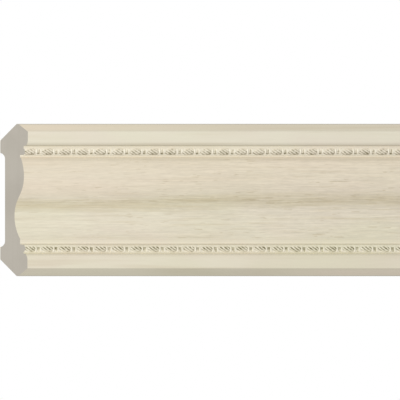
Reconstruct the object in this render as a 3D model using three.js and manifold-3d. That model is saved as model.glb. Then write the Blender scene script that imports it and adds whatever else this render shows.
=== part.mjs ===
// Cornice moulding length: one extruded foam-plastic crown moulding with a printed
// wood-grain face and two rows of pressed bead-and-reel ornament.
// Millimetres, +Z up. X runs along the length, +Y goes into the wall.
// The section is drawn flat (height h along its face, depth d out of its back) and is
// then tilted 45 degrees, so that one seat lies on the wall and the other on the ceiling.
import * as THREE from "three";
import { mergeVertices } from "three/addons/utils/BufferGeometryUtils.js";
import Module from "manifold-3d";

// ---------- driving dimensions, mm ----------
const LENGTH = 332; // along the longest back edge
const HALF_FACE = 62.85; // from the section's middle to each thin edge
const TIP_FLAT = 1.3; // thickness of each thin edge
const SEAT_RUN = 13.75; // depth and height that each 45 degree gluing seat covers
const FOOT_END = 38.9; // inner end of each back foot, as height from the middle
const HOLLOW = 4.0; // depth of the shallow hollow in the back
const HOLLOW_R = 5.0; // rounding of the hollow's corners

const LIP_DEPTH = [23.1, 22.75]; // the proudest face, near both edges: upper, lower
const LIP_CORNER = [56.5, 56.35]; // height of the arris between lip and edge bevel
const LIP_ARRIS = 0.9; // its rounding
const LIP_LOW = [49.9, 49.6]; // where the lip starts to round inwards
const LIP_FOOT = [44.8, 44.4]; // where that rounding ends
const LIP_ROUND = 2.4; // how far the lip's rounding goes back

const FILLET_DEPTH = 19.55; // flat beside the beads, lip side
const FILLET_OUT = [44.45, 44.05]; // its outer end, under the lip
const FILLET_IN = [42.8, 43.1]; // its inner end
const BED_RISE = 0.7; // how far the ornament's bed bulges
const BED_IN = [37.2, 37.1]; // inner end of the ornament's bed
const BED_IN_DEPTH = [19.6, 20.2]; // its depth there
const QUIRK_DEPTH = 16.6; // flat beside the beads, field side
const QUIRK_OUT = [37.05, 36.7]; // its outer end, below the bed's edge
const QUIRK_IN = [35.0, 32.5]; // its inner end

const FIELD_TOP_DEPTH = 17.3; // the ogee starts here, a small step above its flat
const CREST_DEPTH = 19.85, CREST_H = 19.4; // proudest line of the ogee
const TROUGH_DEPTH = 11.95, TROUGH_H = -13.2; // deepest line of the ogee
const FIELD_END_DEPTH = 16.8;

const PITCH = [14.54, 14.62]; // one bead and one reel: upper row, lower row
const FIRST_REEL = [2.98, 2.68]; // middle of the first reel from the back's long end
const BEAD_MID_H = [40.0, 40.65]; // middle line of each row
const BEAD_DEPTH = 19.05; // depth of the beads' axis
const BEAD_LONG = 4.85, BEAD_HALF = [2.7, 2.5], BEAD_OUT = 2.0; // half axes of an oval bead
const BEAD_OFFSET = 7.3; // from a reel's middle to the next bead's middle
const DISC_GAP = 3.7, DISC_THICK = 1.1, DISC_HALF = 2.4, DISC_OUT = 1.8; // twin discs of a reel

const TILT = Math.PI / 4; // the face leans between wall and ceiling

// ---------- helpers ----------
const wasm = await Module();
wasm.setup();

function toSolid(geometry) {
  const g = geometry.index ? geometry.toNonIndexed() : geometry.clone();
  for (const name of Object.keys(g.attributes)) if (name !== "position") g.deleteAttribute(name);
  const m = mergeVertices(g, 1e-4);
  return new wasm.Manifold(
    new wasm.Mesh({
      numProp: 3,
      vertProperties: new Float32Array(m.attributes.position.array),
      triVerts: new Uint32Array(m.index.array),
    }),
  );
}

function toGeometry(solid) {
  const m = solid.getMesh();
  const v = new Float32Array(m.numVert * 3);
  for (let i = 0; i < m.numVert; i++)
    v.set(m.vertProperties.subarray(i * m.numProp, i * m.numProp + 3), i * 3);
  const g = new THREE.BufferGeometry();
  g.setAttribute("position", new THREE.BufferAttribute(v, 3));
  g.setIndex(new THREE.BufferAttribute(new Uint32Array(m.triVerts), 1));
  g.computeVertexNormals();
  return g;
}

// radius of the arc that leaves a level line and gains `rise` over `run`
const arcRadius = (run, rise) => (run * run + rise * rise) / (2 * rise);

// points of an arc that is level (d constant) at (h0, d0) and reaches h1; sign +1 rises outwards
function levelArc(h0, d0, h1, radius, sign, steps) {
  const out = [];
  const a1 = Math.asin((h1 - h0) / radius);
  for (let i = 1; i <= steps; i++) {
    const a = (a1 * i) / steps;
    out.push([h0 + radius * Math.sin(a), d0 + sign * radius * (1 - Math.cos(a))]);
  }
  return out;
}

// ---------- the section, as [height, depth] points going round it ----------
// One edge zone, from the thin edge in to the field; side 0 is the upper edge.
function edgeZone(side) {
  const p = [[HALF_FACE, SEAT_RUN], [HALF_FACE, SEAT_RUN + TIP_FLAT]];
  const slope = Math.atan2(LIP_DEPTH[side] - SEAT_RUN - TIP_FLAT, HALF_FACE - LIP_CORNER[side]);
  for (let i = 0; i <= 2; i++) {
    const a = (slope * (2 - i)) / 2; // normal turns from the bevel to the lip
    p.push([
      LIP_CORNER[side] - LIP_ARRIS * Math.tan(slope / 2) + LIP_ARRIS * Math.sin(a),
      LIP_DEPTH[side] - LIP_ARRIS + LIP_ARRIS * Math.cos(a),
    ]);
  }
  const drop = LIP_LOW[side] - LIP_FOOT[side];
  for (let i = 0; i <= 5; i++) {
    const a = ((Math.PI / 2) * 0.97 * i) / 5;
    p.push([
      LIP_LOW[side] - drop * Math.sin(a),
      LIP_DEPTH[side] - LIP_ROUND + LIP_ROUND * Math.cos(a),
    ]);
  }
  p.push([FILLET_OUT[side], FILLET_DEPTH]);
  const wide = FILLET_IN[side] - BED_IN[side];
  for (let i = 0; i <= 5; i++) {
    const t = i / 5; // the ornament's bed, a flat half-round
    p.push([
      FILLET_IN[side] - wide * t,
      FILLET_DEPTH + (BED_IN_DEPTH[side] - FILLET_DEPTH) * t + BED_RISE * Math.sin(Math.PI * t),
    ]);
  }
  p.push([QUIRK_OUT[side], QUIRK_DEPTH], [QUIRK_IN[side], QUIRK_DEPTH]);
  return p;
}

const upper = edgeZone(0);
const lower = edgeZone(1).map(([h, d]) => [-h, d]).reverse();

// The field: a convex crest and a hollow trough, tangent arcs.
const field = [];
const topRun = QUIRK_IN[0] - 0.15 - CREST_H;
const rTop = arcRadius(topRun, CREST_DEPTH - FIELD_TOP_DEPTH);
field.push(...levelArc(CREST_H, CREST_DEPTH, QUIRK_IN[0] - 0.15, rTop, -1, 9).reverse());
const span = CREST_H - TROUGH_H, fall = CREST_DEPTH - TROUGH_DEPTH;
const rOgee = (span * span + fall * fall) / (4 * fall);
field.push([CREST_H, CREST_DEPTH]);
field.push(...levelArc(CREST_H, CREST_DEPTH, (CREST_H + TROUGH_H) / 2, rOgee, -1, 9));
field.push(...levelArc(TROUGH_H, TROUGH_DEPTH, (CREST_H + TROUGH_H) / 2, rOgee, 1, 9).reverse().slice(1));
field.push([TROUGH_H, TROUGH_DEPTH]);
const endH = -QUIRK_IN[1] + 0.1;
const rEnd = arcRadius(TROUGH_H - endH, FIELD_END_DEPTH - TROUGH_DEPTH);
field.push(...levelArc(TROUGH_H, TROUGH_DEPTH, endH, rEnd, 1, 10));

// The back: foot, rounded shallow hollow, foot; the seats close the ring.
const back = [[-(HALF_FACE - SEAT_RUN), 0], [-FOOT_END, 0]];
const cd = HOLLOW - HOLLOW_R;
const a0 = Math.acos(-cd / HOLLOW_R); // where the rounding meets the foot's flat
const ch = FOOT_END - HOLLOW_R * Math.sin(a0);
for (let i = 1; i <= 6; i++) {
  const a = a0 * (1 - i / 6);
  back.push([-(ch + HOLLOW_R * Math.sin(a)), cd + HOLLOW_R * Math.cos(a)]);
}
for (let i = 0; i < 6; i++) {
  const a = (a0 * i) / 6;
  back.push([ch + HOLLOW_R * Math.sin(a), cd + HOLLOW_R * Math.cos(a)]);
}
back.push([FOOT_END, 0], [HALF_FACE - SEAT_RUN, 0]);

const ring = [...upper, ...field, ...lower, ...back];
const section = new THREE.Shape(ring.map(([h, d]) => new THREE.Vector2(h, d)));

// section axes (h, d, length) to the flat-lying frame: X length, -Y out of the face, Z height
const lay = new THREE.Matrix4().makeBasis(
  new THREE.Vector3(0, 0, 1), new THREE.Vector3(0, -1, 0), new THREE.Vector3(1, 0, 0),
);
const SPARE = 30;
const bar = new THREE.ExtrudeGeometry(section, { depth: LENGTH + 2 * SPARE, bevelEnabled: false, steps: 1 });
bar.applyMatrix4(lay);
bar.translate(-LENGTH / 2 - SPARE, 0, 0);
let body = toSolid(bar);

// ---------- pressed ornament: oval beads and twin-disc reels ----------
const ornaments = [];
for (const side of [0, 1]) {
  const s = side === 0 ? 1 : -1;
  const count = Math.ceil(LENGTH / PITCH[side]) + 1;
  for (let k = 0; k < count; k++) {
    const reelX = -LENGTH / 2 + FIRST_REEL[side] + k * PITCH[side];
    const bead = new THREE.SphereGeometry(1, 10, 6);
    bead.rotateZ(Math.PI / 2); // poles along the length
    bead.scale(BEAD_LONG, BEAD_OUT, BEAD_HALF[side]);
    bead.translate(reelX + BEAD_OFFSET, -BEAD_DEPTH, s * BEAD_MID_H[side]);
    ornaments.push(toSolid(bead));
    for (const e of [-0.5, 0.5]) {
      const disc = new THREE.CylinderGeometry(1, 1, DISC_THICK, 10, 1);
      disc.rotateZ(Math.PI / 2);
      disc.scale(1, DISC_OUT, DISC_HALF);
      disc.translate(reelX + e * DISC_GAP, -BEAD_DEPTH, s * BEAD_MID_H[side]);
      ornaments.push(toSolid(disc));
    }
  }
}
for (const o of ornaments) body = body.add(o);

// ---------- ends: square at +X, bevelled 45 degrees through the thickness at -X ----------
const DEEP = 60, TALL = 200;
const plan = new THREE.Shape([
  new THREE.Vector2(-LENGTH / 2 - DEEP, -DEEP),
  new THREE.Vector2(LENGTH / 2, -DEEP),
  new THREE.Vector2(LENGTH / 2, DEEP),
  new THREE.Vector2(-LENGTH / 2 + DEEP, DEEP),
]);
const trim = new THREE.ExtrudeGeometry(plan, { depth: TALL, bevelEnabled: false });
// plan axes (x, depth, height) to the same frame
trim.applyMatrix4(new THREE.Matrix4().makeBasis(
  new THREE.Vector3(1, 0, 0), new THREE.Vector3(0, -1, 0), new THREE.Vector3(0, 0, -1),
));
trim.translate(0, 0, TALL / 2);
body = body.intersect(toSolid(trim));

// ---------- scene graph ----------
const film = new THREE.MeshStandardMaterial({ color: 0xe0d5c0, roughness: 0.55, metalness: 0 });
const mesh = new THREE.Mesh(toGeometry(body), film);
mesh.name = "cornice_length";

const tilted = new THREE.Group();
tilted.add(mesh);
tilted.rotation.x = TILT;
// the wall seat's middle comes to the origin, and the wall seat to the plane y = 0
const footH = HALF_FACE - SEAT_RUN;
tilted.position.set(0, -footH * Math.SQRT1_2, (footH + SEAT_RUN) * Math.SQRT1_2);

const part = new THREE.Group();
part.add(tilted);
export default part;
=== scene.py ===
# Cornice moulding length: printed cream skin on warm grey foam, with pressed bead and reel.
import math

import bpy
import bmesh
import numpy as np
from mathutils import Matrix, Vector
from mathutils.geometry import tessellate_polygon


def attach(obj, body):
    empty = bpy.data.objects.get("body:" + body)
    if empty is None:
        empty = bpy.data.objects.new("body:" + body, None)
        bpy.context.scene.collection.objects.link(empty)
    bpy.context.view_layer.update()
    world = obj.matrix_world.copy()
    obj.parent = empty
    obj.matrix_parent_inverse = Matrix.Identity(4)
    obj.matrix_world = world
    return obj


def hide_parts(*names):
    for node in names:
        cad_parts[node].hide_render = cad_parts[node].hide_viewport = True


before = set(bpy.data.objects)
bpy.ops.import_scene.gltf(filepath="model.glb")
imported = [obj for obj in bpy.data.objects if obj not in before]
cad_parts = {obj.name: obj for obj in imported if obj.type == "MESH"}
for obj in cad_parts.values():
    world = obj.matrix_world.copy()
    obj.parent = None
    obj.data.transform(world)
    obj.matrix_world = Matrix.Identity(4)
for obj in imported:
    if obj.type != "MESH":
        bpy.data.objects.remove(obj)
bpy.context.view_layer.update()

# ---------------------------------------------------------------- sizes, mm
LENGTH = 332.0
X0, X1 = -LENGTH / 2, LENGTH / 2
HALF_FACE = 62.85
TIP_FLAT = 1.3
BARE_EDGE = 0.6  # the skin stops this far from each thin edge
SEAT_RUN = 13.75
FOOT_H = HALF_FACE - SEAT_RUN
FOOT_END = 38.9
HOLLOW, HOLLOW_R = 4.0, 5.0

LIP_DEPTH = (23.1, 22.75)
LIP_CORNER = (56.5, 56.35)
LIP_ARRIS = 0.9
LIP_LOW = (49.9, 49.6)
LIP_FOOT = (44.8, 44.4)
LIP_ROUND = 2.4

FILLET_DEPTH = 19.55
FILLET_OUT = (44.45, 44.05)
FILLET_IN = (42.8, 43.1)
BED_RISE = 0.7
BED_IN = (37.2, 37.1)
BED_IN_DEPTH = (19.6, 20.2)
QUIRK_DEPTH = 16.6
QUIRK_OUT = (37.05, 36.7)
QUIRK_IN = (35.0, 32.5)

FIELD_TOP_DEPTH = 17.3
CREST_DEPTH, CREST_H = 19.85, 19.4
TROUGH_DEPTH, TROUGH_H = 11.95, -13.2
FIELD_END_DEPTH = 16.8

PITCH = (14.54, 14.62)
FIRST_REEL = (2.98, 2.68)
BEAD_MID_H = (40.0, 40.65)
BEAD_LEFT, BEAD_FAT, BEAD_RIGHT = 5.3, 1.2, 4.85  # tip, thickest place, blunt end
BEAD_HALF, BEAD_TOP = (2.8, 2.45), (2.5, 2.45)  # half heights to the field and to the lip
TIP_BEND = 0.85  # how far the bead's tip bends to the field
BEAD_RISE = 1.15
RIB_STEP, RIB_SLOPE, RIB_AT = (3.4, 3.3), (1.42, 1.5), (0.24, -1.24)
RIB_TURN = (0.0, 0.32)  # how far the ribs straighten above the bead's middle
DISC_AT = ((-1.70, 1.60), (-1.85, 1.57))  # the two discs, from the reel's middle
DISC_HALF_THICK, DISC_HALF = 0.62, 2.4
DISC_RISE = 0.85
BED_SINK = 0.1

UNIT_STEPS = 50  # mesh columns in one bead and reel
BED_ROWS = 30  # mesh rows across an ornament bed
COARSE = 50  # mesh columns in one coarse cell

C45 = math.sqrt(0.5)


def installed(x, d, h):
    """Section place (along, depth, height), mm, to the installed frame, m."""
    return np.stack([
        x,
        (-d - h) * C45 - FOOT_H * C45,
        (-d + h) * C45 + (FOOT_H + SEAT_RUN) * C45,
    ], -1) * 1e-3


def srgb(r, g, b):
    return tuple(((v / 255 + 0.055) / 1.055) ** 2.4 if v > 10 else v / 255 / 12.92 for v in (r, g, b))


def smooth(a, b, x):
    t = np.clip((x - a) / (b - a), 0, 1)
    return t * t * (3 - 2 * t)


def chance(i, j, seed):
    """A fixed number from 0 to 1 for each lattice place."""
    v = np.sin(i * 12.9898 + j * 78.233 + seed * 37.719) * 43758.5453
    return v - np.floor(v)


def blotch(x, y, cell, seed):
    """Smooth patches from -1 to 1, about a cell across."""
    u, v = x / cell, y / cell
    i, j = np.floor(u), np.floor(v)
    a, b = smooth(0, 1, u - i), smooth(0, 1, v - j)
    low = chance(i, j, seed) * (1 - a) + chance(i + 1, j, seed) * a
    top = chance(i, j + 1, seed) * (1 - a) + chance(i + 1, j + 1, seed) * a
    return 2 * (low * (1 - b) + top * b) - 1


# ---------------------------------------------------------------- pressed ornament
def inside(h, side):
    """1 on an ornament bed, falling to 0 at its two edges."""
    out = 1.0 if side == 0 else -1.0
    return smooth(0, 0.3, h * out - BED_IN[side]) * smooth(0, 0.35, FILLET_IN[side] - h * out)


def ornament(x, h, side):
    """Height above the bed, and the paint there: glaze and painted shade above 0, rubbed pale and painted highlight
    below 0.
    """
    out = 1.0 if side == 0 else -1.0  # the way to the lip
    eta = h - out * BEAD_MID_H[side]  # up the face
    into = -out * eta  # towards the field
    t = np.mod(x - X0 - FIRST_REEL[side], PITCH[side])
    xi = t - PITCH[side] / 2  # along a bead, from its middle
    xr = np.where(t < PITCH[side] / 2, t, t - PITCH[side])  # along a reel, from its middle

    # leaf-shaped bead with slanting ribs: a low tip to the left, blunt to the right
    unit = np.floor((x - X0 - FIRST_REEL[side]) / PITCH[side])
    slant = xi + RIB_SLOPE[side] * eta - RIB_TURN[side] * (eta + np.sqrt(eta * eta + 0.3)) / 2
    slant = slant - RIB_AT[side] + (1.5, 1.2)[side] * (chance(unit, side, 3) - 0.5)
    rib = np.abs(np.sin(np.pi * slant / RIB_STEP[side]))
    cut = smooth(1.0, 0.45, rib)
    across = into - TIP_BEND * smooth(1.0, -5.0, xi)
    left = xi < BEAD_FAT
    reach = np.where(left, BEAD_FAT + BEAD_LEFT, BEAD_RIGHT - BEAD_FAT)
    q = (np.abs(xi - BEAD_FAT) / reach) ** np.where(left, 1.7, 3.0) + (across / (np.where(across > 0, BEAD_HALF[side], BEAD_TOP[side]) * (0.97 + 0.06 * rib))) ** 2
    body = np.clip(1 - q, 0, 1)
    oval = smooth(0.0, 0.15, body)
    groove = 0.5 + 0.5 * np.cos(2 * np.pi * slant / RIB_STEP[side])
    bead = BEAD_RISE * body ** 0.5 * (1 - 0.32 * groove)
    far = np.hypot(xi - 3.3, eta - 0.5)
    knob = np.exp(-(far / 0.55) ** 2)
    bead = bead + 0.3 * knob * oval

    # twin discs of the reel, with a groove between them and low saddles to the beads
    disc = np.zeros_like(x)
    bar = np.zeros_like(x)
    w = np.clip(1 - (np.abs(eta) / DISC_HALF) ** 3, 0, 1)
    for e in DISC_AT[side]:
        g = np.clip(1 - ((xr - e) / DISC_HALF_THICK) ** 2, 0, 1)
        disc = np.maximum(disc, DISC_RISE * g ** 0.6 * w ** 0.5)
        bar = np.maximum(bar, smooth(0, 0.5, g) * smooth(0, 0.2, w))
    saddle = 0.55 * smooth(1.3, 1.8, np.abs(xr)) * smooth(3.8, 2.6, np.abs(xr)) * w ** 0.5
    xg = xr + 0.08 if side == 0 else xr + 0.18 - 0.65 * smooth(-0.3, -1.8, into)  # the lower row's groove leans
    gap = smooth((1.45, 1.35)[side], (1.0, 0.8)[side], np.abs(xg)) * smooth(2.45, 2.1, -into) * smooth((2.6, 2.05)[side], (2.2, 1.6)[side], into)

    # the whole pressing fades out at the bed's two edges
    edge = inside(h, side)
    rise = (np.maximum(np.maximum(bead, disc), saddle) - BED_SINK - 0.15 * gap) * edge

    # glaze lies in the cuts, thicker towards the field, with painted shade on the beads' lower sides and in the reel's
    # gap; the high places are rubbed pale and painted as highlights
    if side == 0:
        paint = oval * (0.04 + 0.05 * smooth(-1.5, 0.0, into) + cut * (0.20 + 0.30 * smooth(-2.2, 0.6, into)))
        # painted shade: the bead's lower right and its foot by the field are darkened, where the light leaves them
        paint += oval * 0.17 * smooth(0.2, 2.4, into) * smooth(-3.5, 3.0, xi)
        paint += oval * 0.13 * smooth(1.7, 2.2, into)
        # glaze and painted shade in the reel's gap, with smears towards the next bead
        gap_glaze_and_shade = gap * 0.82 * smooth(0.8, 1.5, into) * smooth(1.35, 0.6, np.abs(xr + 0.3))
        lean = 0.5 * smooth(-0.3, -1.2, into)
        gap_glaze_and_shade = np.maximum(gap_glaze_and_shade, 0.39 * gap * smooth(-1.3, -0.2, xr - lean) * smooth(-2.5, -1.2, into))
        foot = xr + 1.2 * smooth(1.8, 2.4, into)  # a smear from the reel's foot to the next tip
        gap_glaze_and_shade = np.maximum(gap_glaze_and_shade, 0.30 * smooth(1.1, 1.9, into) * smooth(0.2, 0.8, xr) * smooth(2.9, 1.9, foot))
        gap_glaze_and_shade = np.maximum(gap_glaze_and_shade, 0.20 * smooth(0.7, 1.3, into) * smooth(2.8, 2.2, into) * smooth(-3.9, -3.2, xr) * smooth(-2.0, -2.6, xr))
        bar = bar * smooth(np.where(xr > 0, 2.4, 2.8), 0.9, into)
        # rubbed pale and painted highlight on the bed round the reel and along its edge by the field
        rubbed_and_highlit = 0.22 + 0.45 * smooth(np.where(xr > 0, 6.2, 5.0), 2.5, np.abs(xr)) * smooth(2.3, 1.4, np.abs(eta))
        rubbed_and_highlit = np.maximum(rubbed_and_highlit, 0.7 * smooth(1.7, 2.2, into) * smooth(np.where(xr > 0, 5.0, 3.8), np.where(xr > 0, 3.4, 2.6), np.abs(xr)))
        rubbed_and_highlit = rubbed_and_highlit + 0.25 * smooth(2.0, 2.8, xr) * smooth(5.0, 3.6, xr) * smooth(-0.4, -1.3, into)
    else:
        paint = oval * cut * (0.32 + 0.58 * smooth(-1.6, 0.4, into)) * (0.70 + 0.30 * smooth(-4.6, -1.8, xi))
        # painted shade on the bead's side towards the field, more to the right
        paint += oval * 0.16 * smooth(-0.5, 1.6, into) * smooth(-2.5, 2.0, xi)
        paint += 0.10 * oval * np.exp(-((far - 1.0) / 0.45) ** 2)
        paint += 0.25 * np.exp(-((xi - 2.8) / 0.8) ** 2 - ((eta + 1.95) / 0.4) ** 2)
        paint = paint * smooth(2.6, 1.6, into) * (1 - 0.6 * smooth(-0.6, -1.9, into)) * (1 - 0.25 * smooth(1.0, 3.0, xi) * smooth(0.0, -1.0, into))
        paint += 0.12 * smooth(0.9, 1.3, into) * smooth(2.1, 1.6, into) * smooth(-0.5, -2.5, xi)
        # glaze and painted shade in the reel's gap
        gap_glaze_and_shade = gap * (0.30 + 0.41 * smooth(-1.2, 0.7, into))
        bar = bar * smooth(np.where(xr > 0, 1.7, 1.5), np.where(xr > 0, 0.3, 0.2), into)
        # rubbed pale and painted highlight on the bed beside the lip and round the reel
        rubbed_and_highlit = (0.20 + (0.52 + 0.43 * smooth(3.8, 2.4, np.abs(xr))) * smooth(-0.2, -1.2, into)) * smooth(3.0, 2.3, into)
        rubbed_and_highlit = rubbed_and_highlit + 0.25 * smooth(1.9, 2.6, xr) * smooth(4.4, 3.4, xr) * smooth(-0.5, -1.2, into)
    paint = np.clip(np.maximum(paint, gap_glaze_and_shade), 0, 0.95) * (1 - 0.6 * knob)
    # painted highlights, partly rubbed pale: on the discs, the crests between the ribs and the bare bed
    rub_and_highlight = np.maximum((0.75 + 0.25 * smooth(0.2, -0.8, into)) * bar, np.maximum(0.54 * oval * (1 - cut), rubbed_and_highlit * (1 - oval)) * smooth(0.4, 0.0, paint))
    paint = paint * (1 - bar) - rub_and_highlight
    paint = paint + 0.42 * blotch(x, h, 1.25, 1 + side) * (0.30 + 0.70 * np.maximum(oval, gap))  # uneven glaze
    return rise, paint * edge


# ---------------------------------------------------------------- the section ring
SKIN, FOAM = 0, 1
ring = []  # h, d, bed side or None, material of the strip that leads on from here


def add(h, d, mat, bed=None):
    ring.append((h, d, bed, mat))


def arc_points(h0, d0, h1, radius, sign, n):
    a1 = math.asin((h1 - h0) / radius)
    return [(h0 + radius * math.sin(a1 * i / n), d0 + sign * radius * (1 - math.cos(a1 * i / n))) for i in range(n + 1)]


def edge_zone(side):
    """(h, d, bed) from a thin edge in to the field, with h positive."""
    slope = math.atan2(LIP_DEPTH[side] - SEAT_RUN - TIP_FLAT, HALF_FACE - LIP_CORNER[side])
    p = [(HALF_FACE, SEAT_RUN + TIP_FLAT, None),
         (HALF_FACE - BARE_EDGE * math.cos(slope), SEAT_RUN + TIP_FLAT + BARE_EDGE * math.sin(slope), None)]
    for i in range(6):
        a = slope * (5 - i) / 5
        p.append((LIP_CORNER[side] - LIP_ARRIS * math.tan(slope / 2) + LIP_ARRIS * math.sin(a),
                  LIP_DEPTH[side] - LIP_ARRIS + LIP_ARRIS * math.cos(a), None))
    drop = LIP_LOW[side] - LIP_FOOT[side]
    for i in range(13):
        a = math.pi / 2 * 0.97 * i / 12
        p.append((LIP_LOW[side] - drop * math.sin(a), LIP_DEPTH[side] - LIP_ROUND + LIP_ROUND * math.cos(a), None))
    p.append((FILLET_OUT[side] + 0.12, FILLET_DEPTH + 0.25, None))
    p.append((FILLET_OUT[side], FILLET_DEPTH, None))
    p.append((FILLET_IN[side] + 0.25, FILLET_DEPTH, None))
    for i in range(BED_ROWS + 1):
        t = i / BED_ROWS
        p.append((FILLET_IN[side] + (BED_IN[side] - FILLET_IN[side]) * t,
                  FILLET_DEPTH + (BED_IN_DEPTH[side] - FILLET_DEPTH) * t + BED_RISE * math.sin(math.pi * t), side))
    # rounded edge of the bed, then the drop to the flat beside the field
    p.append((BED_IN[side] - 0.08, BED_IN_DEPTH[side] - 0.25, None))
    p.append((QUIRK_OUT[side] + 0.02, QUIRK_DEPTH + 0.2, None))
    p.append((QUIRK_OUT[side] - 0.15, QUIRK_DEPTH, None))
    for step in (0.65, 1.4) if side == 0 else (0.65, 1.0, 1.5, 2.2):
        p.append((QUIRK_OUT[side] - step, QUIRK_DEPTH, None))
    p.append((QUIRK_IN[side], QUIRK_DEPTH, None))
    return p


add(HALF_FACE, SEAT_RUN, FOAM)
for h, d, bed in edge_zone(0):
    add(h, d, SKIN, bed)
top_h = QUIRK_IN[0] - 0.15
run, rise_ = top_h - CREST_H, CREST_DEPTH - FIELD_TOP_DEPTH
r_top = (run * run + rise_ * rise_) / (2 * rise_)
for h, d in reversed(arc_points(CREST_H, CREST_DEPTH, top_h, r_top, -1, 18)):
    add(h, d, SKIN)
mid_h = (CREST_H + TROUGH_H) / 2
span, fall = CREST_H - TROUGH_H, CREST_DEPTH - TROUGH_DEPTH
r_ogee = (span * span + fall * fall) / (4 * fall)
for h, d in arc_points(CREST_H, CREST_DEPTH, mid_h, r_ogee, -1, 16)[1:]:
    add(h, d, SKIN)
for h, d in list(reversed(arc_points(TROUGH_H, TROUGH_DEPTH, mid_h, r_ogee, 1, 16)))[1:]:
    add(h, d, SKIN)
end_h = -QUIRK_IN[1] + 0.1
run, rise_ = TROUGH_H - end_h, FIELD_END_DEPTH - TROUGH_DEPTH
r_end = (run * run + rise_ * rise_) / (2 * rise_)
for h, d in arc_points(TROUGH_H, TROUGH_DEPTH, end_h, r_end, 1, 18)[1:]:
    add(h, d, SKIN)
for h, d, bed in reversed(edge_zone(1)):
    add(-h, d, SKIN, bed)
ring[-1] = ring[-1][:3] + (FOAM,)
ring[-2] = ring[-2][:3] + (FOAM,)
ring[1] = ring[1][:3] + (FOAM,)
FACE_N = len(ring)  # the ring's places on the face
add(-HALF_FACE, SEAT_RUN, FOAM)
# back: seat, foot, rounded hollow, foot, seat
add(-FOOT_H, 0.0, FOAM)
add(-FOOT_END, 0.0, FOAM)
cd = HOLLOW - HOLLOW_R
a0 = math.acos(-cd / HOLLOW_R)
ch = FOOT_END - HOLLOW_R * math.sin(a0)
for i in range(1, 11):
    a = a0 * (1 - i / 10)
    add(-(ch + HOLLOW_R * math.sin(a)), cd + HOLLOW_R * math.cos(a), FOAM)
for i in range(0, 10):
    a = a0 * i / 10
    add(ch + HOLLOW_R * math.sin(a), cd + HOLLOW_R * math.cos(a), FOAM)
add(FOOT_END, 0.0, FOAM)
add(FOOT_H, 0.0, FOAM)

N = len(ring)
RH = np.array([r[0] for r in ring])
RD = np.array([r[1] for r in ring])
arc = np.concatenate([[0], np.cumsum(np.hypot(np.diff(np.append(RH, RH[0])), np.diff(np.append(RD, RD[0]))))])

# ---------------------------------------------------------------- one closed mesh
dx = PITCH[0] / UNIT_STEPS
cells = int(round(LENGTH / (dx * COARSE)))
fine_x = np.linspace(X0, X1, cells * COARSE + 1)
coarse_x = fine_x[::COARSE]

# glaze with painted shade along the corners beside the beds (above 0), and painted highlights on the edges (below 0):
# side, height, half width, share
GLAZE_AND_LIGHT_MARKS = (
    (0, LIP_LOW[0] - 1.6, 1.4, -0.14),
    (0, LIP_FOOT[0] + 0.4, 1.9, 0.09),
    (0, FILLET_IN[0] + 0.15, 0.7, -0.06),
    (0, BED_IN[0], 1.2, -1.0),
    (0, QUIRK_IN[0] - 1.2, 2.1, 0.18),
    (1, QUIRK_OUT[1] - 1.6, 0.6, -0.32),
    (1, QUIRK_OUT[1] - 0.3, 1.0, 0.16),
    (1, FILLET_IN[1] + 0.2, 0.7, 0.16),
    (1, LIP_FOOT[1] + 0.4, 1.7, 0.11),
)


def corner_glaze_and_light(h):
    """Glaze and painted shade in the corners, and painted highlights on the edges, of the plain mouldings at a height.
    """
    return sum(g * max(0.0, 1 - ((abs(h) - at) / half) ** 2) for side, at, half, g in GLAZE_AND_LIGHT_MARKS if side == (h < 0))


verts, glaze_and_painted_light_rows, vert_x = [], [], []
index = []  # for each ring place, the vertex at each of its columns
for j, (h, d, bed, _) in enumerate(ring):
    xs = coarse_x if bed is None else fine_x
    start = X0 + d
    if bed is not None:  # the bevel passes through the relief
        for _ in range(30):
            start = X0 + d + float(ornament(np.array([start]), np.array([h]), bed)[0][0])
    live = xs > start + 0.3 * (dx if bed is not None else dx * 8)
    own = np.concatenate([[start], xs[live]])
    deep = np.full(len(own), d)
    g = np.full(len(own), corner_glaze_and_light(h) if ring[j][3] == SKIN else 0.0)
    if bed is not None:
        rise, g = ornament(own, np.full(len(own), h), bed)
        if bed == 0 and h < BEAD_MID_H[0]:  # the upper bed's edge to the field takes a painted highlight over the shade beside the drop
            g = g + corner_glaze_and_light(h) * (1 - inside(h, bed))
        deep = deep + rise
        deep[0] = start - X0
    base = sum(len(v) for v in verts)
    verts.append(installed(own, deep, np.full(len(own), h)))
    glaze_and_painted_light_rows.append(g)
    vert_x.append(own)
    skipped = int((~live).sum())
    index.append(np.concatenate([np.full(skipped, base), base + 1 + np.arange(live.sum())]))
co = np.concatenate(verts)
glaze_and_painted_light = np.concatenate(glaze_and_painted_light_rows)
along = np.concatenate(vert_x)

faces, face_mat, face_uv = [], [], []
L_SIDE = 340.0  # mm across the bake map


def put(ids, rows, mat):
    """A face by vertex ids, with the ring place of each corner (N closes the ring)."""
    seen, keep = set(), []
    for v, r in zip(ids, rows):
        if v not in seen:
            seen.add(v)
            keep.append((int(v), r))
    if len(keep) < 3:
        return
    faces.append([v for v, _ in keep])
    face_mat.append(mat)
    face_uv.append([(along[v], arc[r]) for v, r in keep])


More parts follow.
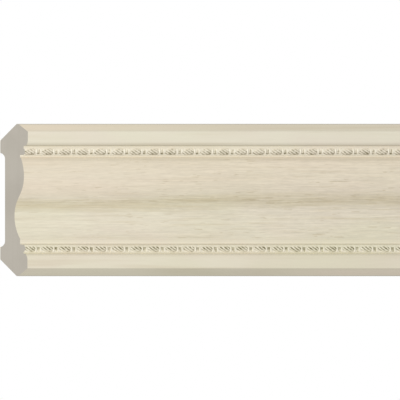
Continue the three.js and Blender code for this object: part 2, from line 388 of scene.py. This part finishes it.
for j in range(N):
    k = (j + 1) % N
    A, B = index[j], index[k]
    mat = ring[j][3]
    ra, rb = j, j + 1
    if len(A) == len(B):
        for i in range(len(A) - 1):
            put((B[i], B[i + 1], A[i + 1], A[i]), (rb, rb, ra, ra), mat)
        continue
    fine, coarse, fine_low = (A, B, False) if len(A) > len(B) else (B, A, True)
    rf, rc = (ra, rb) if not fine_low else (rb, ra)
    for c in range(len(coarse) - 1):
        p, q = coarse[c], coarse[c + 1]
        f = fine[c * COARSE:(c + 1) * COARSE + 1]
        m = COARSE // 2
        for i in range(COARSE):
            apex = p if i < m else q
            tri = (f[i], f[i + 1], apex) if fine_low else (f[i + 1], f[i], apex)
            put(tri, (rf, rf, rc), mat)
        tri = (f[m], q, p) if fine_low else (f[m], p, q)
        put(tri, (rf, rc, rc), mat)

strip_faces = len(faces)
for end in (0, -1):
    loop = [int(index[j][end]) for j in range(N)]
    pts = co[loop]
    for tri in tessellate_polygon([[Vector(p) for p in pts]]):
        ids = [loop[t] for t in tri]
        a, b, c = (Vector(co[v]) for v in ids)
        outward = Vector((-1, -0.7, -0.7)) if end == 0 else Vector((1, 0, 0))
        if (b - a).cross(c - a).dot(outward) < 0:
            ids.reverse()
            tri = tuple(reversed(tri))
        faces.append(ids)
        face_mat.append(FOAM)
        off = (6.0 + HALF_FACE) if end == 0 else (20.0 + 3 * HALF_FACE)
        face_uv.append([(X0 + off + RH[t], arc[-1] + 4.0 + RD[t] * (1.4142 if end == 0 else 1.0)) for t in tri])

mesh = bpy.data.meshes.new("cornice_skin")
mesh.from_pydata([tuple(v) for v in co], [], faces)
mesh.update()
for p, m in zip(mesh.polygons, face_mat):
    p.material_index = m
flat_uv = np.array([c for f in face_uv for c in f])
shade_map = mesh.uv_layers.new(name="Run")  # decimetres along and around
shade_map.data.foreach_set("uv", ((flat_uv - (X0, 0)) / 100.0).astype(np.float32).ravel())
bake = mesh.uv_layers.new(name="OFBake")
bake.data.foreach_set("uv", ((flat_uv - (X0 - 4.0, -4.0)) / L_SIDE).astype(np.float32).ravel())
attr = mesh.attributes.new("glaze_and_painted_light", "FLOAT", "POINT")
attr.data.foreach_set("value", glaze_and_painted_light.astype(np.float32))
mesh.shade_smooth()
mesh.set_sharp_from_angle(angle=math.radians(32))
# the pressing inside a bed stays smooth, up to the cut ends
inner = np.concatenate([np.full(len(v), None not in (ring[j - 1][2], ring[j][2], ring[(j + 1) % N][2])) for j, v in enumerate(verts)])
at_end = np.zeros(len(co), bool)
at_end[[int(index[j][e]) for j in range(N) for e in (0, -1)]] = True
pair = np.empty(len(mesh.edges) * 2, np.int32)
mesh.edges.foreach_get("vertices", pair)
va, vb = pair[0::2], pair[1::2]
soft_edge = (inner[va] | inner[vb]) & ~(at_end[va] & at_end[vb])
hard = np.empty(len(mesh.edges), bool)
mesh.attributes["sharp_edge"].data.foreach_get("value", hard)
mesh.attributes["sharp_edge"].data.foreach_set("value", hard & ~soft_edge)
mesh.validate()

moulding = bpy.data.objects.new("cornice_moulding", mesh)
bpy.context.scene.collection.objects.link(moulding)


# ---------------------------------------------------------------- materials
class Nodes:
    """A small hand for a material's node tree."""

    def __init__(self, name):
        self.mat = bpy.data.materials.new(name)
        self.mat.use_nodes = True
        self.tree = self.mat.node_tree
        self.tree.nodes.clear()
        self.out = self.tree.nodes.new("ShaderNodeOutputMaterial")
        self.bsdf = self.tree.nodes.new("ShaderNodeBsdfPrincipled")
        self.link(self.bsdf.outputs["BSDF"], self.out.inputs["Surface"])
        self.uv = self.tree.nodes.new("ShaderNodeUVMap")
        self.uv.uv_map = "Run"

    def link(self, a, b):
        self.tree.links.new(a, b)

    def noise(self, su, sv, detail=2.0, rough=0.5, distort=0.0, shift=(0, 0, 0)):
        m = self.tree.nodes.new("ShaderNodeMapping")
        m.inputs["Location"].default_value = shift
        m.inputs["Scale"].default_value = (su, sv, 1)
        self.link(self.uv.outputs["UV"], m.inputs["Vector"])
        n = self.tree.nodes.new("ShaderNodeTexNoise")
        n.inputs["Scale"].default_value = 1.0
        n.inputs["Detail"].default_value = detail
        n.inputs["Roughness"].default_value = rough
        n.inputs["Distortion"].default_value = distort
        self.link(m.outputs["Vector"], n.inputs["Vector"])
        return n.outputs["Fac"]

    def math(self, op, a, b=None, clamp=False):
        n = self.tree.nodes.new("ShaderNodeMath")
        n.operation = op
        n.use_clamp = clamp
        for s, v in zip(n.inputs, (a, b)):
            if v is None:
                continue
            if isinstance(v, (int, float)):
                s.default_value = v
            else:
                self.link(v, s)
        return n.outputs["Value"]

    def ramp(self, fac, lo, hi, a=0.0, b=1.0):
        n = self.tree.nodes.new("ShaderNodeMapRange")
        n.interpolation_type = "SMOOTHSTEP"
        n.inputs["From Min"].default_value = lo
        n.inputs["From Max"].default_value = hi
        n.inputs["To Min"].default_value = a
        n.inputs["To Max"].default_value = b
        self.link(fac, n.inputs["Value"])
        return n.outputs["Result"]

    def mix(self, fac, a, b, kind="MIX"):
        n = self.tree.nodes.new("ShaderNodeMix")
        n.data_type = "RGBA"
        n.blend_type = kind
        n.clamp_factor = True
        if isinstance(fac, (int, float)):
            n.inputs["Factor"].default_value = fac
        else:
            self.link(fac, n.inputs["Factor"])
        sa = [s for s in n.inputs if s.name == "A" and s.type == "RGBA"][0]
        sb = [s for s in n.inputs if s.name == "B" and s.type == "RGBA"][0]
        for s, v in ((sa, a), (sb, b)):
            if isinstance(v, tuple):
                s.default_value = (*v, 1.0)
            else:
                self.link(v, s)
        return [o for o in n.outputs if o.type == "RGBA"][0]

    def bump(self, height, strength, distance):
        n = self.tree.nodes.new("ShaderNodeBump")
        n.inputs["Strength"].default_value = strength
        n.inputs["Distance"].default_value = distance
        self.link(height, n.inputs["Height"])
        self.link(n.outputs["Normal"], self.bsdf.inputs["Normal"])


# printed wood-grain skin
s = Nodes("printed_skin")


def face_v(h):
    """Place across the face, in the shade map's units, of a height on it."""
    return float(np.interp(-h, -RH[1:FACE_N], arc[1:FACE_N])) / 100


def hump(value, half):
    """1 at 0, falling to 0 at half on both sides."""
    return s.math("MAXIMUM", s.math("SUBTRACT", 1.0, s.math("POWER", s.math("ABSOLUTE", s.math("DIVIDE", value, half)), 2.0)), 0.0)


at = s.tree.nodes.new("ShaderNodeSeparateXYZ")
s.link(s.uv.outputs["UV"], at.inputs["Vector"])
U, V = at.outputs["X"], at.outputs["Y"]
bent = s.math("ADD", V, s.math("MULTIPLY", s.noise(0.25, 3.0, 1.0, 0.5, 0.0, (17, 6, 0)), 0.006))


def lines(rows, breaks, seed):
    """Straight printed lines, each with its own dashes: rows and breaks in a decimetre."""
    row = s.math("FLOOR", s.math("MULTIPLY", bent, rows))
    join = s.tree.nodes.new("ShaderNodeCombineXYZ")
    s.link(s.math("MULTIPLY", U, breaks), join.inputs["X"])
    s.link(s.math("MULTIPLY", row, 7.31), join.inputs["Y"])
    join.inputs["Z"].default_value = seed
    n = s.tree.nodes.new("ShaderNodeTexNoise")
    n.inputs["Scale"].default_value = 1.0
    n.inputs["Detail"].default_value = 2.0
    n.inputs["Roughness"].default_value = 0.55
    s.link(join.outputs["Vector"], n.inputs["Vector"])
    return n.outputs["Fac"]


on_field = s.math("MULTIPLY", s.ramp(V, face_v(34.5), face_v(33.0)), s.ramp(V, face_v(-32.3), face_v(-31.0)))
on_field = s.math("MULTIPLY", on_field, s.ramp(U, 0.0, 2.8, 0.62, 1.1))  # the print is softer to the left

cream = srgb(228, 222, 202)
col = s.mix(s.ramp(s.noise(1.3, 3.2, 2.0, 0.5, 0.3, (3, 7, 0)), 0.36, 0.66), cream, srgb(226, 217, 199))
col = s.mix(s.ramp(s.noise(0.9, 2.3, 2.0, 0.5, 0.3, (13, 1, 0)), 0.42, 0.70, 0.0, 0.6), col, srgb(223, 218, 194))
streak = s.noise(0.55, 17.0, 3.0, 0.55, 0.35, (0, 2, 0))
col = s.mix(s.ramp(streak, 0.50, 0.78, 0.0, 0.55), col, srgb(209, 197, 172))
thread = s.ramp(lines(80.0, 1.6, 3.9), 0.52, 0.72, 0.0, 0.42)
col = s.mix(s.math("MULTIPLY", thread, on_field), col, srgb(207, 195, 166))
# the print is warmer on the upper half of the field and along the upper edge
col = s.mix(s.math("MULTIPLY", hump(s.math("SUBTRACT", V, face_v(27.0)), 0.25), 0.6), col, srgb(225, 210, 187))
top_bevel_tone_and_light = hump(s.math("SUBTRACT", V, face_v(60.0)), 0.06)
col = s.mix(s.math("MULTIPLY", top_bevel_tone_and_light, 0.35), col, srgb(231, 216, 188))
# painted light: towards the left end the upper bevel is painted paler and pinker, where the lamp's light falls on it
col = s.mix(s.math("MULTIPLY", top_bevel_tone_and_light, s.ramp(U, 2.4, 0.0, 0.0, 0.5)), col, srgb(250, 234, 208))
warm = s.math("MULTIPLY", hump(s.math("SUBTRACT", V, face_v(8.0)), 0.12), s.ramp(U, 2.0, 0.0, 0.20, 0.45))
col = s.mix(warm, col, srgb(238, 221, 200))
# and a shade deeper on the lower half
low = s.ramp(V, face_v(-2.0), face_v(-2.0) + 0.12)
col = s.mix(low, col, (0.974, 0.963, 0.946), "MULTIPLY")
col = s.mix(hump(s.math("SUBTRACT", V, face_v(-40.3)), 0.055), col, (1.0, 1.01, 0.966), "MULTIPLY")
# the lower edge has a dull stretch along its middle and is pinker to the right
foot_tone = hump(s.math("SUBTRACT", V, face_v(-60.0)), 0.06)
col = s.mix(s.math("MULTIPLY", foot_tone, hump(s.math("SUBTRACT", U, 1.75), 0.7)), col, (0.955, 0.95, 0.94), "MULTIPLY")
col = s.mix(s.math("MULTIPLY", foot_tone, s.ramp(U, 2.0, 2.9, 0.0, 0.5)), col, srgb(240, 224, 208))
# heart streak on the steep middle of the ogee: it climbs to the right, with a dark thread along it
wander = s.math("MULTIPLY", s.math("SUBTRACT", s.noise(2.6, 0.6, 3.0, 0.6, 0.0, (5, 5, 0)), 0.5), 0.032)
climb = s.ramp(U, 0.7, 2.4, -0.042, 0.010)
off = s.math("ADD", s.math("ADD", s.math("SUBTRACT", V, face_v(-0.6)), wander), climb)
vein = s.ramp(lines(95.0, 3.0, 7.7), 0.32, 0.68, 0.50, 1.0)
col = s.mix(s.math("MULTIPLY", s.math("MULTIPLY", hump(off, s.ramp(U, 0.7, 2.4, 0.062, 0.084)), vein), s.ramp(U, 1.2, 2.4, 0.60, 0.52)), col, srgb(203, 189, 153))
core = s.math("ADD", s.math("SUBTRACT", V, face_v(-0.9)), s.math("MULTIPLY", wander, 0.6))
split = s.ramp(lines(130.0, 5.0, 2.2), 0.42, 0.60)
col = s.mix(s.math("MULTIPLY", s.math("MULTIPLY", hump(core, 0.028), split), 0.32), col, srgb(178, 163, 126))
# fine grain, short dashes both darker and paler
grain = s.math("MULTIPLY", s.ramp(lines(104.0, 7.0, 1.3), 0.28, 0.72, 0.957, 1.033), s.ramp(lines(171.0, 13.0, 5.7), 0.28, 0.72, 0.953, 1.036))
grain = s.math("MULTIPLY", grain, s.ramp(lines(122.0, 0.9, 4.4), 0.28, 0.72, 0.964, 1.030))  # some lines run on
tone = s.math("ADD", s.math("MULTIPLY", s.math("SUBTRACT", grain, 1.0), s.math("ADD", s.math("MULTIPLY", on_field, 0.85), 0.15)), 1.0)
col = s.mix(1.0, col, tone, "MULTIPLY")
patch = s.ramp(s.noise(1.5, 9.0, 2.0, 0.5, 0.0, (4, 3, 0)), 0.40, 0.62, 0.2, 1.0)
dash = s.math("MULTIPLY", s.math("MULTIPLY", s.ramp(lines(150.0, 7.0, 9.1), 0.60, 0.70), patch), on_field)
col = s.mix(s.math("MULTIPLY", dash, 0.58), col, srgb(187, 172, 141))
# antique glaze in the pressing, with painted shade in its hollows and corners
glaze_light_attr = s.tree.nodes.new("ShaderNodeAttribute")
glaze_light_attr.attribute_name = "glaze_and_painted_light"
speck = s.ramp(s.noise(60.0, 60.0, 2.0, 0.6, 0.0, (2, 2, 0)), 0.30, 0.70, 0.75, 1.0)
col = s.mix(s.math("MULTIPLY", s.math("MAXIMUM", glaze_light_attr.outputs["Fac"], 0.0), speck), col, srgb(120, 112, 78))
# painted highlights, partly rubbed pale: a share below 0 lightens towards the pale cream
col = s.mix(s.math("MAXIMUM", s.math("MULTIPLY", glaze_light_attr.outputs["Fac"], -1.0), 0.0), col, srgb(248, 241, 222))
s.link(col, s.bsdf.inputs["Base Color"])
s.link(s.ramp(streak, 0.2, 0.8, 0.50, 0.62), s.bsdf.inputs["Roughness"])
s.bsdf.inputs["Specular IOR Level"].default_value = 0.35
s.bump(s.math("SUBTRACT", s.math("MULTIPLY", streak, 0.35), dash), 0.25, 0.00006)

# bare foam on the cut ends and the back
f = Nodes("bare_foam")
grey = f.mix(f.ramp(f.noise(2.2, 2.2, 3.0, 0.5, 0.2, (8, 8, 0)), 0.35, 0.68), srgb(186, 180, 169), srgb(180, 174, 163))
cell = f.noise(190.0, 190.0, 3.0, 0.65, 0.0, (6, 1, 0))
grey = f.mix(f.ramp(cell, 0.54, 0.72, 0.0, 0.28), grey, srgb(157, 150, 139))
draw = f.noise(0.5, 42.0, 3.0, 0.55, 0.2, (2, 6, 0))
grey = f.mix(f.ramp(draw, 0.50, 0.75, 0.0, 0.22), grey, srgb(167, 161, 150))
f.link(grey, f.bsdf.inputs["Base Color"])
f.link(f.ramp(cell, 0.3, 0.7, 0.72, 0.9), f.bsdf.inputs["Roughness"])
f.bsdf.inputs["Specular IOR Level"].default_value = 0.2
f.bump(f.math("ADD", f.math("MULTIPLY", cell, 0.8), f.math("MULTIPLY", draw, 0.5)), 0.3, 0.00012)

mesh.materials.append(s.mat)
mesh.materials.append(f.mat)

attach(moulding, "root")
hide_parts("cornice_length")

# ---------------------------------------------------------------- floor, far below the ceiling line
fl = bpy.data.meshes.new("floor")
bm = bmesh.new()
bmesh.ops.create_grid(bm, x_segments=4, y_segments=4, size=50.0)
bm.to_mesh(fl)
bm.free()
floor = bpy.data.objects.new("floor", fl)
floor.location = (0, 0, -20.0)
bpy.context.scene.collection.objects.link(floor)
fm = Nodes("pale_floor")
fm.link(fm.mix(fm.ramp(fm.noise(0.4, 0.4), 0.3, 0.7), (0.80, 0.80, 0.79), (0.84, 0.84, 0.83)), fm.bsdf.inputs["Base Color"])
fm.bsdf.inputs["Roughness"].default_value = 0.9
fl.materials.append(fm.mat)

# ---------------------------------------------------------------- light and camera
OUT = Vector((0, -C45, -C45))  # out of the face
UP = Vector((0, -C45, C45))  # up the face
RIGHT = Vector((1, 0, 0))
PX = 0.826e-3  # metres in a pixel of the 400 pixel frame
aim = Vector(installed(np.array(X0 + 165.16), np.array(11.0), np.array(0.0)).tolist())


def place(ob, at, up=UP):
    back = (at - aim).normalized()
    side = up.cross(back).normalized()
    rise = back.cross(side)
    ob.matrix_world = Matrix.Translation(at) @ Matrix((side, rise, back)).transposed().to_4x4()


def lamp(name, direction, distance, size, watts, colour=(1, 1, 1)):
    data = bpy.data.lights.new(name, "AREA")
    data.shape = "DISK"
    data.size = size
    data.energy = watts
    data.color = colour
    ob = bpy.data.objects.new(name, data)
    bpy.context.scene.collection.objects.link(ob)
    ob.visible_camera = False
    place(ob, aim + direction.normalized() * distance)
    return ob


lamp("key", OUT * 1.0 - RIGHT * 0.45 + UP * 0.12, 2.4, 0.7, 35.0)
lamp("rear", -OUT * 1.0 + UP * 0.5 + RIGHT * 0.6, 3.0, 1.6, 45.0)

world = bpy.data.worlds.new("studio")
bpy.context.scene.world = world
world.use_nodes = True
wt = world.node_tree
wt.nodes.clear()
wo = wt.nodes.new("ShaderNodeOutputWorld")
soft = wt.nodes.new("ShaderNodeBackground")
soft.inputs["Color"].default_value = (1, 1, 1, 1)
soft.inputs["Strength"].default_value = 0.49
page = wt.nodes.new("ShaderNodeBackground")
page.inputs["Color"].default_value = (1, 1, 1, 1)
page.inputs["Strength"].default_value = 1.0
path = wt.nodes.new("ShaderNodeLightPath")
pick = wt.nodes.new("ShaderNodeMixShader")
wt.links.new(path.outputs["Is Camera Ray"], pick.inputs["Fac"])
wt.links.new(soft.outputs[0], pick.inputs[1])
wt.links.new(page.outputs[0], pick.inputs[2])
wt.links.new(pick.outputs[0], wo.inputs["Surface"])

cam_data = bpy.data.cameras.new("camera")
cam_data.type = "PERSP"
cam_data.sensor_fit = "HORIZONTAL"
cam_data.sensor_width = 36.0
cam_data.lens = 1500.0
away = 400 * PX * cam_data.lens / cam_data.sensor_width
cam_data.clip_start = 0.1
cam_data.clip_end = 200.0
camera = bpy.data.objects.new("camera", cam_data)
bpy.context.scene.collection.objects.link(camera)
place(camera, aim + OUT * away)
bpy.context.scene.camera = camera

bpy.context.scene.view_settings.view_transform = "Standard"
bpy.context.scene.view_settings.look = "None"

bpy.context.view_layer.update()
